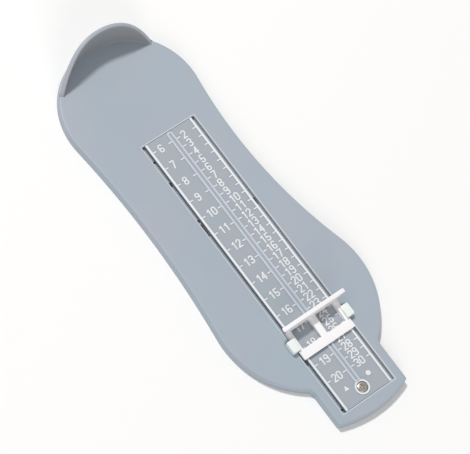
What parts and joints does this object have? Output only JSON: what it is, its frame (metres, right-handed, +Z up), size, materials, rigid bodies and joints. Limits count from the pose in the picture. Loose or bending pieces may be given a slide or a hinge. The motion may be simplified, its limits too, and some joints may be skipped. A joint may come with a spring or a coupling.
{
  "type": "foot measuring device",
  "caption": "Foot-shaped gauge with a raised heel wall, a numbered scale plate in a long channel, and a sliding toe stop with reading windows and finger grips.",
  "frame": {"origin": "middle of the footprint, on the surface the gauge stands on", "axes": "+Z up; +Y from the toe end to the heel end; +X to the right when the gauge is read with the heel end up"},
  "size_m": [0.085, 0.2266, 0.0244],
  "materials": {
    "body_plastic": "fine satin moulding",
    "plate_plastic": "satin moulding",
    "screw_steel": "plated steel",
    "frame_white": "semi-gloss moulding",
    "carriage_white": "semi-gloss moulding",
    "marking_white": "raised marking, coated"
  },
  "bodies": {
    "sole": {"sole_body": "body_plastic", "scale_plate": "plate_plastic", "plate_screw": "screw_steel", "centimetre_numbers": "marking_white", "size_numbers": "marking_white", "centimetre_lines": "marking_white", "size_lines": "marking_white", "column_marks": "marking_white"},
    "slider": {"slider_frame": "frame_white", "slider_carriage": "carriage_white"}
  },
  "joints": [
    {"name": "slider_travel", "type": "slide", "parent": "sole", "child": "slider", "axis": [0, -1, 0], "range_m": [-0.1105, 0.033]}
  ]
}
